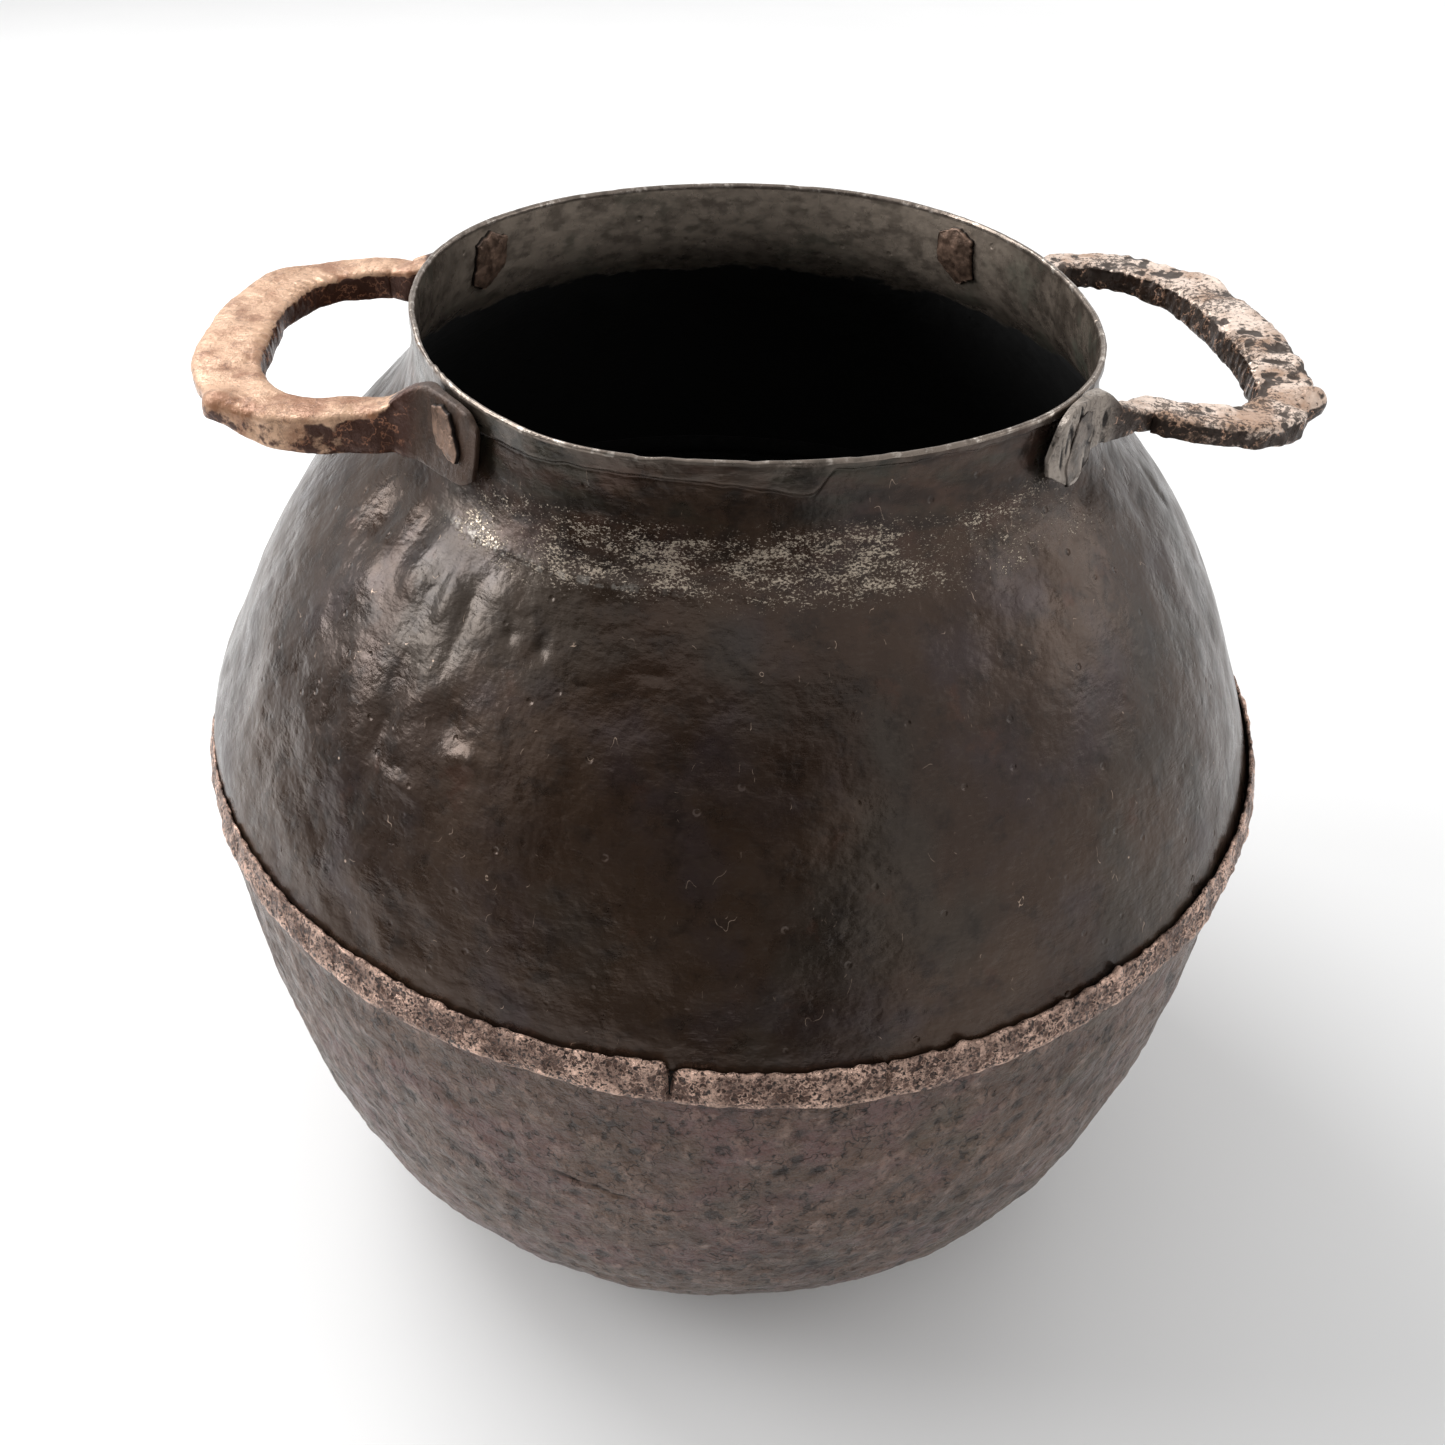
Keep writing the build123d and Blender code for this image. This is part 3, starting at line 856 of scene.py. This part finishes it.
def patina_material():
    """Dark brown oxidised copper of the shoulder and neck."""
    n = Nodes("patinated_copper")
    height = n.axis("Z")
    n.base = n.mix(n.span(n.noise(60, 4), 0.38, 0.62), colour(57, 41, 31), colour(70, 53, 41))
    n.tint(n.span(n.noise(34, 5), 0.50, 0.70, 0, 0.7), 60, 49, 50)
    n.tint(n.span(n.noise(52, 3, (1, 1, 0.6)), 0.52, 0.66, 0, 0.35), 51, 53, 48)
    n.tint(n.span(n.noise(16, 5), 0.62, 0.74, 0, 0.6), 74, 48, 36)
    n.tint(n.span(n.noise(9, 7, rough=0.65), 0.48, 0.70, 0, 0.65), 32, 23, 18)
    n.tint(n.span(n.noise(1.6, 4, (0.6, 0.6, 1.8)), 0.5, 0.75, 0, 0.3), 80, 69, 61)
    # smoky reddish streaks on the neck and a green tinge under the rim
    neck = n.span(height, 0.322, 0.336)
    n.tint(n.times(neck, n.span(n.noise(20, 6, (1, 1, 2.4)), 0.46, 0.62), 0.5), 74, 53, 44)
    under_rim = n.times(n.span(height, 0.338, 0.346), n.span(n.noise(30, 4, (1, 1, 2.4)), 0.45, 0.6))
    n.tint(n.times(under_rim, 0.5), 46, 52, 44)
    dark_neck = n.times(neck, n.span(n.noise(11, 6, (1, 1, 2.2)), 0.42, 0.66, 0, 0.6))
    n.tint(dark_neck, 26, 21, 18)
    # pale metallic wear round the foot of the neck, broken into fine specks along the turning
    zone = n.times(n.span(height, 0.3195, 0.3265), n.span(height, 0.3455, 0.336))
    front = n.span(n.axis("Y"), -0.062, -0.088)
    patch = n.span(n.noise(26, 6, (1, 1, 2.4), 0.62), 0.42, 0.6)
    streak = n.span(n.noise(8, 4, (1, 1, 4)), 0.36, 0.6, 0.55, 1.1)
    thick = n.times(zone, front, streak, n.maths("ADD", 0.35, n.times(patch, 0.65)))
    grains = n.noise(0.75, 3, (0.8, 0.8, 1.6), 0.72)
    level = n.maths("SUBTRACT", 0.68, n.times(thick, 0.21))
    speck = n.maths("SUBTRACT", grains, level)
    wear = n.times(n.span(speck, -0.03, 0.09), n.span(thick, 0.05, 0.3))
    n.tint(n.times(wear, 0.9), 190, 175, 157)
    # painted highlight: a thin pale line along the concave foot of the neck on the front left
    line = n.times(n.span(height, 0.3250, 0.3258), n.span(height, 0.3276, 0.3266))
    line = n.times(line, n.span(n.axis("X"), -0.02, -0.05), front, n.span(n.noise(2.2, 5), 0.46, 0.6))
    n.tint(n.times(line, 0.45), 160, 154, 146)
    # bright nicks and scratches
    nick = n.times(n.span(n.cells(17), 0.036, 0.018), n.span(n.noise(30, 2), 0.46, 0.56))
    dash = n.times(n.threads(5, 0.006, 1, (1, 1, 0.35)), n.span(n.noise(6, 3), 0.63, 0.69))
    n.tint(n.maths("MAXIMUM", nick, n.times(dash, 0.8)), 206, 180, 160)
    # the folded hem, its rubbed crown and painted highlights along the crown
    hem = n.mask("hem")
    n.tint(n.times(hem, n.span(n.noise(7, 6, (1, 1, 2)), 0.36, 0.62), 0.6), 92, 82, 74)
    crown = n.times(n.span(n.mask("crown"), 0.35, 0.95), n.span(n.noise(5, 5), 0.3, 0.55, 0.35, 1.0))
    n.tint(crown, 134, 122, 112)
    # painted highlight: small bright glints scattered along the rubbed crown
    crown_painted_glint = n.times(crown, n.span(n.noise(3.5, 5), 0.52, 0.66))
    n.tint(crown_painted_glint, 196, 186, 176)
    # inside: mottled near the mouth, paler at the back, partly rubbed and partly painted light; painted near
    # black below, for dark patina and painted shade
    inside = n.mask("inside")
    mottle = n.span(n.noise(10, 7, rough=0.65), 0.4, 0.62)
    inner = n.mix(mottle, colour(96, 86, 77), colour(140, 127, 115))
    inner = n.mix(n.span(n.noise(24, 4), 0.5, 0.66, 0, 0.6), inner, colour(100, 106, 94))
    inner = n.mix(n.span(n.noise(4, 6, rough=0.65), 0.48, 0.7, 0, 0.7), inner, colour(66, 58, 53))
    # paler back of the inside: partly rubbed streaks near the mouth, partly painted light on the back wall
    rubbed = n.times(n.span(n.axis("Y"), 0.02, 0.09), n.span(height, 0.326, 0.345, 0.4, 1.0))
    rubbed = n.times(rubbed, n.span(n.noise(7, 6, (1, 1, 1.6)), 0.36, 0.6, 0.35, 1.0))
    inner = n.mix(rubbed, inner, colour(198, 182, 166))
    # below the flare of the neck the inside is painted near black: dark patina and painted shade deep in the
    # pot
    edge = n.maths("ADD", height, n.span(n.noise(14, 5), 0.3, 0.7, -0.0025, 0.0025))
    shaded_deep = n.span(edge, SHADE_EDGE_TOP, SHADE_EDGE_LOW)
    inner = n.mix(shaded_deep, inner, PATINA_AND_SHADE_BLACK)
    n.base = n.mix(n.times(inside, n.span(n.mask("crown"), 0.9, 0.3)), n.base, inner)
    deep_shade = n.times(inside, shaded_deep)
    bright = n.maths("MAXIMUM", n.times(crown, 0.2), n.times(wear, 0.1))
    metal = n.times(n.maths("ADD", 0.5, bright), n.span(deep_shade, 1, 0))
    shine = n.maths("MAXIMUM", n.span(n.noise(12, 6), 0.3, 0.7, 0.22, 0.36), deep_shade)
    n.fill(n.shader.inputs["Specular IOR Level"], 0.6)
    heights = [
        (n.noise(12, 3), 0.8),
        (n.noise(5, 5, (1, 1, 1.3)), 0.34),
        (n.noise(1.3, 3, (0.45, 0.45, 2.2)), 0.06),
        (n.span(n.cells(11), 0.04, 0.12), 0.25),
        (wear, 0.1),
    ]
    return n.finish(metal, shine, heights)


def rough_material():
    """Rough, pitted copper of the lower bowl, with its rubbed coppery fold."""
    n = Nodes("rough_copper")
    n.base = n.mix(n.span(n.noise(40, 5), 0.36, 0.64), colour(80, 61, 50), colour(98, 76, 63))
    n.tint(n.span(n.noise(30, 5), 0.48, 0.66, 0, 0.7), 104, 75, 73)
    n.tint(n.span(n.noise(24, 5), 0.52, 0.68, 0, 0.5), 80, 72, 57)
    pebbles = n.span(n.noise(7, 7, (1, 1, 0.7), 0.62), 0.48, 0.64)
    n.tint(n.times(pebbles, 0.34), 154, 127, 113)
    hollows = n.span(n.noise(4.4, 5, (1, 1, 0.7), 0.6), 0.42, 0.34)
    n.tint(n.times(hollows, 0.8), 40, 31, 27)
    creases = n.times(n.threads(6, 0.02, 2, (1, 1, 0.8)), n.span(n.noise(8, 4), 0.46, 0.58))
    n.tint(n.times(creases, 0.9), 30, 23, 20)
    n.tint(n.span(n.noise(1.3, 4, (1, 1, 0.7)), 0.5, 0.68, 0, 0.5), 50, 39, 33)
    small_pits = n.times(n.span(n.noise(2.4, 3, (1, 1, 0.7)), 0.38, 0.32), n.span(n.noise(20, 3), 0.4, 0.6))
    n.tint(n.times(small_pits, 0.85), 32, 25, 22)
    low = n.span(n.mask("relief"), 0.42, 0.22)
    n.tint(n.times(low, 0.75), 38, 31, 28)
    worn = n.times(n.span(n.mask("relief"), 0.56, 0.72), n.span(n.noise(2.2, 5), 0.45, 0.62))
    n.tint(n.times(worn, 0.6), 152, 128, 116)
    # the folded band: dark recesses, fine salmon ridges where it is rubbed
    band = n.mask("band")
    n.tint(n.times(band, 0.85), 106, 80, 69)
    grains = n.noise(1.1, 6, rough=0.65)
    n.tint(n.times(band, n.span(grains, 0.52, 0.40), 0.9), 36, 27, 24)
    ridges = n.threads(2.2, 0.055, 3)
    fresh = n.span(n.noise(10, 4), 0.38, 0.6, 0.35, 1.0)
    high = n.maths("ADD", n.mask("relief"), n.span(grains, 0.3, 0.7, -0.3, 0.3))
    rubbed = n.times(band, fresh, n.maths("MAXIMUM", n.span(high, 0.5, 0.85), ridges))
    n.tint(rubbed, 244, 206, 186)
    # the inside of the bowl is painted near black: dark patina and painted shade
    inside = n.mask("inside")
    n.base = n.mix(inside, n.base, PATINA_AND_SHADE_BLACK)
    metal = n.times(n.maths("ADD", 0.5, n.times(rubbed, 0.3)), n.span(inside, 1, 0))
    shine = n.maths("MAXIMUM", n.span(n.noise(8, 5), 0.3, 0.7, 0.26, 0.44), inside)
    heights = [
        (n.noise(8, 4), 1.8),
        (n.noise(3.2, 6, (1, 1, 0.8), 0.6), 1.0),
        (n.maths("SUBTRACT", pebbles, hollows), 0.5),
        (n.times(creases, -1.0), 0.5),
        (n.times(band, ridges), 0.6),
        (n.noise(1.1, 4), 0.25),
    ]
    return n.finish(metal, shine, heights)


def bare_material(name, tones, speckle):
    """Worn bare copper of a handle: pale where hands rub, brown or black where they don't; the dark band
    where an arm meets its foot is painted shade.

    tones are pale, middle, dark, edge, pit and foot colours; speckle is how much is peppered dark.
    """
    pale, middle, dark, edge_colour, pit_colour, foot_colour = (colour(*tone) for tone in tones)
    n = Nodes(name)
    bright = n.mix(n.span(n.noise(14, 5), 0.44, 0.64), pale, middle)
    bright = n.mix(n.span(n.noise(2.6, 6, rough=0.62), 0.50, 0.70, 0, 0.25), bright, middle)
    bright = n.mix(n.times(n.threads(9, 0.02, 4), 0.35), bright, dark)
    edge = n.span(n.noise(4, 6), 0.3, 0.7, -0.32, 0.32)
    worn = n.span(n.maths("ADD", n.mask("worn"), edge), 0.26, 0.6)
    net = n.times(n.threads(4.6, 0.02 + 0.014 * speckle, 4), n.span(n.noise(7, 4), 0.40, 0.60))
    dull = n.mix(n.times(net, 0.55 + 0.35 * speckle), dark, edge_colour)
    n.base = n.mix(worn, dull, bright)
    patch = n.span(n.noise(18, 4), 0.42, 0.6, -0.05, 0.07)
    pepper = n.span(n.maths("ADD", n.noise(1.3, 4, rough=0.65), patch), 0.54, 0.60)
    hollow = n.maths("ADD", n.mask("cavity"), n.span(n.noise(2.4, 5), 0.3, 0.7, -0.4, 0.4))
    hollow = n.times(n.span(hollow, 0.35, 0.75), 0.35 + 0.6 * speckle)
    pits = n.maths("MAXIMUM", n.times(pepper, 0.8 * speckle), hollow)
    n.base = n.mix(pits, n.base, pit_colour)
    foot = n.span(n.mask("foot"), 0.55, 0.95)
    shade = tuple(0.62 * c for c in foot_colour)
    plate = n.mix(n.span(n.noise(5, 6, (1, 1, 0.35)), 0.4, 0.66), foot_colour, shade)
    plate = n.mix(n.times(n.threads(7, 0.012, 2, (1, 1, 0.3)), 0.5), plate, colour(30, 26, 24))
    plate = n.mix(n.span(n.mask("relief"), 0.36, 0.26), plate, colour(34, 28, 25))
    n.base = n.mix(foot, n.base, plate)
    metal = n.span(n.times(worn, n.span(foot, 1, 0)), 0, 1, 0.4, 0.25)
    shine = n.maths("ADD", n.span(n.noise(9, 5), 0.3, 0.7, 0.30, 0.44), n.times(pits, 0.2))
    heights = [
        (n.noise(6, 5), 0.45),
        (n.noise(1.9, 6), 0.3),
        (n.noise(0.8, 3), 0.06),
        (n.times(pits, -1.0), 0.25),
    ]
    return n.finish(metal, shine, heights)


def rivet_material(name, tone):
    """Dull copper of a rivet head, with its lighter and darker parts worked out from one tone."""
    n = Nodes(name)
    shade = tuple(0.5 * c for c in tone)
    n.base = n.mix(n.span(n.noise(5, 6), 0.38, 0.64), shade, tone)
    n.base = n.mix(n.times(n.threads(4, 0.02, 3), 0.5), n.base, tuple(1.5 * c for c in tone))
    n.tint(n.span(n.mask("relief"), 0.3, 0.1), 40, 32, 29)
    shine = n.span(n.noise(5, 4), 0.3, 0.7, 0.38, 0.54)
    return n.finish(0.5, shine, [(n.noise(4, 4), 0.5), (n.noise(1.4, 5), 0.25)])


def solder_material():
    """Tin bead, near black like the inside of the pot: dark patina and painted shade."""
    n = Nodes("solder")
    n.base = n.mix(n.span(n.noise(8, 4), 0.35, 0.65), PATINA_AND_SHADE_BLACK, colour(12, 11, 11))
    shine = n.span(n.noise(4, 4), 0.3, 0.7, 0.9, 1.0)
    return n.finish(0.0, shine, [(n.noise(6, 3), 0.6), (n.noise(1.5, 3), 0.15)])


def floor_material():
    """White studio floor."""
    n = Nodes("floor")
    n.base = n.mix(n.span(n.noise(400, 3), 0.3, 0.7), (0.88, 0.88, 0.88), (0.9, 0.9, 0.9))
    return n.finish(0.0, 0.7, [])


# ---- build the pot ---------------------------------------------------------
build_upper_shell(patina_material())
build_lower_bowl(rough_material())
build_solder(solder_material())

# each foot: path as (degrees from the X axis, distance off the neck) from its tip,
# then its upper and lower edge along the run from the tip
LEFT_FRONT_FOOT = {
    "path": [(44.2, 2.3), (41, 2.2), (37, 2.3), (33.5, 2.6), (31, 3.2)],
    "run": [0, 3, 10, 16, 26, 33, 36, 40, 48],
    "top": [354, 357.4, 358, 358, 357.8, 354.8, 352.6, 349.6, 348.2],
    "low": [340, 337, 336.4, 336, 335.5, 335, 335, 335, 335],
}
LEFT_BACK_FOOT = {
    "path": [(44, 2.2), (41, 2.2), (37, 2.3), (33.5, 2.7), (30, 4.6)],
    "run": [0, 3, 10, 16, 26, 36, 48],
    "top": [351, 354, 355, 355, 353.5, 351, 348.6],
    "low": [341, 334, 332.5, 333, 335, 337.5, 338.5],
}
RIGHT_FRONT_FOOT = {
    "path": [(49.4, 3.6), (46, 3.5), (41.5, 3.2), (38, 3.2), (35, 5.0)],
    "run": [0, 3.6, 6.6, 11, 14.5, 20.4, 28, 34, 44],
    "top": [348, 355.4, 358.6, 361, 361.2, 361.2, 360.5, 354.5, 351],
    "low": [344, 341.5, 339.4, 338, 339.8, 344.3, 344.6, 344, 343.3],
}
RIGHT_BACK_FOOT = {
    "path": [(49.4, 2.2), (46, 2.2), (42, 2.2), (38, 2.8), (35, 5.0)],
    "run": [0, 3.6, 6.6, 11, 21, 28, 34, 44],
    "top": [346, 351, 354, 355.5, 355.5, 354, 351.5, 349.5],
    "low": [342, 336, 334, 333, 335, 337, 338.5, 339],
}
LEFT_LOOK = {
    "seed": 101,
    "front": LEFT_FRONT_FOOT,
    "back": LEFT_BACK_FOOT,
    "first_bar_point": 3,
    "dent": 0.6,
    "pits": [(4.5, 0.1, 0.4)],
    "pit_spread": 0.0,
    "scale": 0.15,
    "splits": 0.4,
    "cavity": 0.8,
    "worn_edge": 5.0,
    "side_shine": 0.48,
    "root_painted_shade": (31, 46),
    "notches": [(0.5, 11, 0.9), (0.67, 12, 1.3)],
    "knobs": [(0.335, 2.6, 4.5, -0.2), (0.665, 1.6, 8.0, 0.3)],
}
RIGHT_LOOK = {
    "seed": 151,
    "front": RIGHT_FRONT_FOOT,
    "back": RIGHT_BACK_FOOT,
    "first_bar_point": 2,
    "dent": 0.7,
    "pits": [(4.8, 0.42, 0.9), (2.8, 0.45, 0.55)],
    "pit_spread": 0.1,
    "scale": 0.3,
    "splits": 1.0,
    "cavity": 0.65,
    "worn_edge": 1.0,
    "side_shine": 0.16,
    "root_painted_shade": (31, 42),
    "notches": [(0.45, 22, 1.3), (0.66, 26, 1.2)],
    "knobs": [(0.341, -2.2, 2.4, -0.6), (0.362, 3.4, 3.4, -0.1), (0.635, 2.2, 7.0, 0.3)],
}
# middle of each bar as (x, y, width, top, bottom) from the -Y arm round to the +Y arm
LEFT_PLAN = [
    (105.5, -53.6, 9, 349, 335),
    (112, -52, 13, 348, 335),
    (121, -50.6, 14, 347.6, 335),
    (131, -51, 15, 347.3, 335),
    (143, -48, 16, 347.3, 335.2),
    (154.5, -38, 19.5, 347.4, 337),
    (161, -21, 21, 347.6, 338.5),
    (162, 0, 21, 347.8, 339),
    (160.5, 20, 20.5, 347.8, 339),
    (153.5, 38, 19, 348, 338.5),
    (142, 49.5, 17.5, 348.4, 338),
    (130, 53.5, 16, 348.6, 338),
    (119, 53, 14, 348.8, 338.5),
    (111, 50, 11, 349, 338.5),
]
RIGHT_PLAN = [
    (111, -55, 11, 351, 343.5),
    (119, -57.5, 13.5, 350.3, 343),
    (131, -59, 16, 349, 341.5),
    (146, -58, 17.5, 348.3, 339.5),
    (158, -47.5, 19, 348.8, 337.5),
    (163.5, -28, 19, 349.6, 338.5),
    (164.5, -4, 19, 350.2, 339.2),
    (162, 18, 19, 350.2, 339.6),
    (155.5, 40, 18.5, 350.2, 339.8),
    (144, 54.5, 18, 350, 340),
    (131, 61, 16.5, 349.8, 340),
    (119, 61.5, 14, 349.8, 340),
    (110, 58, 11, 349.8, 340),
]
# screen colours: pale, middle, dark, edge, pit and foot
LEFT_TONES = [(214, 174, 143), (156, 110, 80), (74, 46, 35), (204, 142, 108), (86, 54, 41), (76, 58, 47)]
RIGHT_TONES = [(238, 216, 200), (182, 148, 124), (58, 44, 36), (216, 172, 144), (54, 43, 36), (160, 149, 139)]
left_copper = bare_material("worn_copper_left", LEFT_TONES, 0.25)
right_copper = bare_material("worn_copper_right", RIGHT_TONES, 1.0)
build_handle("left_handle_bar", "left_handle", -1, LEFT_PLAN, LEFT_LOOK, left_copper)
build_handle("right_handle_bar", "right_handle", 1, RIGHT_PLAN, RIGHT_LOOK, right_copper)

# outlines of the rivet heads, across and up
OUTER_HEAD = [(-7.5, 7.5), (-2, 9.5), (3, 8), (4.5, 2), (8, -4)]
OUTER_HEAD += [(7.5, -8.5), (2.5, -7.5), (-3.5, -5.5), (-6.5, 0)]
INNER_HEAD = [(-7.5, 8), (0, 11), (8, 7.5), (8.5, -3), (0.5, -11), (-7.5, -6.5)]
SMALL_HEAD = [(0.7 * x, 0.7 * y - 1.5) for x, y in INNER_HEAD]
SLIM_HEAD = [(0.85 * x, 0.74 * y) for x, y in OUTER_HEAD]
FRONT_RIVET = 348.0
BACK_RIVET = 345.0
brown_rivet = rivet_material("rivet_copper_brown", colour(138, 112, 96))
grey_rivet = rivet_material("rivet_copper_grey", colour(130, 120, 112))
for corner, *shape in (
    ("right_front", -RIGHT_FOOT, -1, FRONT_RIVET, 0.9, OUTER_HEAD, SMALL_HEAD, grey_rivet),
    ("right_back", RIGHT_FOOT, 1, BACK_RIVET, 1.6, OUTER_HEAD, INNER_HEAD, brown_rivet),
    ("left_front", 180 + LEFT_FOOT + 1.2, 1, FRONT_RIVET + 1, 1.3, SLIM_HEAD, SMALL_HEAD, brown_rivet),
    ("left_back", 180 - LEFT_FOOT, -1, BACK_RIVET, 1.6, OUTER_HEAD, INNER_HEAD, brown_rivet),
):
    build_rivet("rivet_" + corner + "_heads", "rivet_" + corner, *shape)


# ---- studio ----------------------------------------------------------------
def flat_panel(name, corners, material):
    """A four-cornered flat surface that belongs to the studio."""
    mesh = bpy.data.meshes.new(name)
    mesh.from_pydata(corners, [], [[0, 1, 2, 3]])
    panel = linked(name, mesh)
    panel.data.materials.append(material)
    return panel


def card_material():
    """Black cloth."""
    n = Nodes("black_cloth")
    n.base = n.mix(n.noise(3, 3), (0.006, 0.006, 0.006), (0.012, 0.011, 0.01))
    return n.finish(0.0, 0.95, [])


def upright_card(name, start, end, bottom, top, material):
    """A dark card between two places (x, y) that the camera and the lamps don't see."""
    corners = [(*start, bottom), (*end, bottom), (*end, top), (*start, top)]
    card = flat_panel(name, corners, material)
    card.visible_camera = False
    card.visible_shadow = False
    return card


REACH = 9.0
floor_corners = [(x * REACH, y * REACH, 0) for x, y in ((-1, -1), (1, -1), (1, 1), (-1, 1))]
flat_panel("studio_floor", floor_corners, floor_material())
cloth = card_material()
# a small card close in front gives the dark reflection in the middle of the pot,
# wide ones further off keep the near side and the low left dim
card = upright_card("dark_card", (-0.24, -0.66), (0.2, -0.66), 0.02, 0.8, cloth)
card.visible_diffuse = False
upright_card("black_flag", (-1.7, -1.25), (-0.3, -1.25), 0.04, 1.6, cloth)
upright_card("left_flag", (-1.25, -0.9), (-1.25, 0.3), 0.04, 0.42, cloth)

world = bpy.data.worlds.new("studio")
bpy.context.scene.world = world
world.use_nodes = True
background = world.node_tree.nodes["Background"].inputs
background["Color"].default_value = (1.0, 1.0, 1.0, 1.0)
background["Strength"].default_value = 0.72


def soft_light(name, spot, aim, width, depth, power):
    """Rectangular soft light at spot, pointing at aim."""
    data = bpy.data.lights.new(name, "AREA")
    data.shape = "RECTANGLE"
    data.size = width
    data.size_y = depth
    data.energy = power
    light = linked(name, data)
    light.location = spot
    light.rotation_euler = (Vector(aim) - Vector(spot)).to_track_quat("-Z", "Y").to_euler()


soft_light("key_top_back", (-1.0, 0.95, 1.6), (0, 0, 0.2), 1.2, 1.0, 25)
soft_light("far_floor", (1.5, 2.4, 1.7), (1.5, 2.4, 0), 1.2, 1.2, 12)
soft_light("window_left", (-1.45, 0.15, 0.95), (0, 0, 0.27), 0.75, 0.6, 12)
soft_light("fill_right", (1.7, -0.1, 1.0), (0, 0, 0.25), 1.0, 0.9, 4)


# ---- camera ----------------------------------------------------------------
FOCAL_SHARE = 1400 / 1445
VIEW_HEADING = math.radians(5.19)
VIEW_DOWN = math.radians(39.09)
VIEW_ROLL = math.radians(2.34)
VIEW_PLACE = (-0.04324, -0.42568, 0.5335)
camera_data = bpy.data.cameras.new("camera")
camera_data.sensor_width = 36.0
camera_data.lens = 36.0 * FOCAL_SHARE
camera_data.clip_end = 60
camera = linked("camera", camera_data)
aim = Matrix.Rotation(-VIEW_HEADING, 4, "Z") @ Matrix.Rotation(math.pi / 2 - VIEW_DOWN, 4, "X")
aim = aim @ Matrix.Rotation(VIEW_ROLL, 4, "Z")
camera.matrix_world = Matrix.Translation(VIEW_PLACE) @ aim
bpy.context.scene.camera = camera

bpy.context.scene.view_settings.view_transform = "Standard"
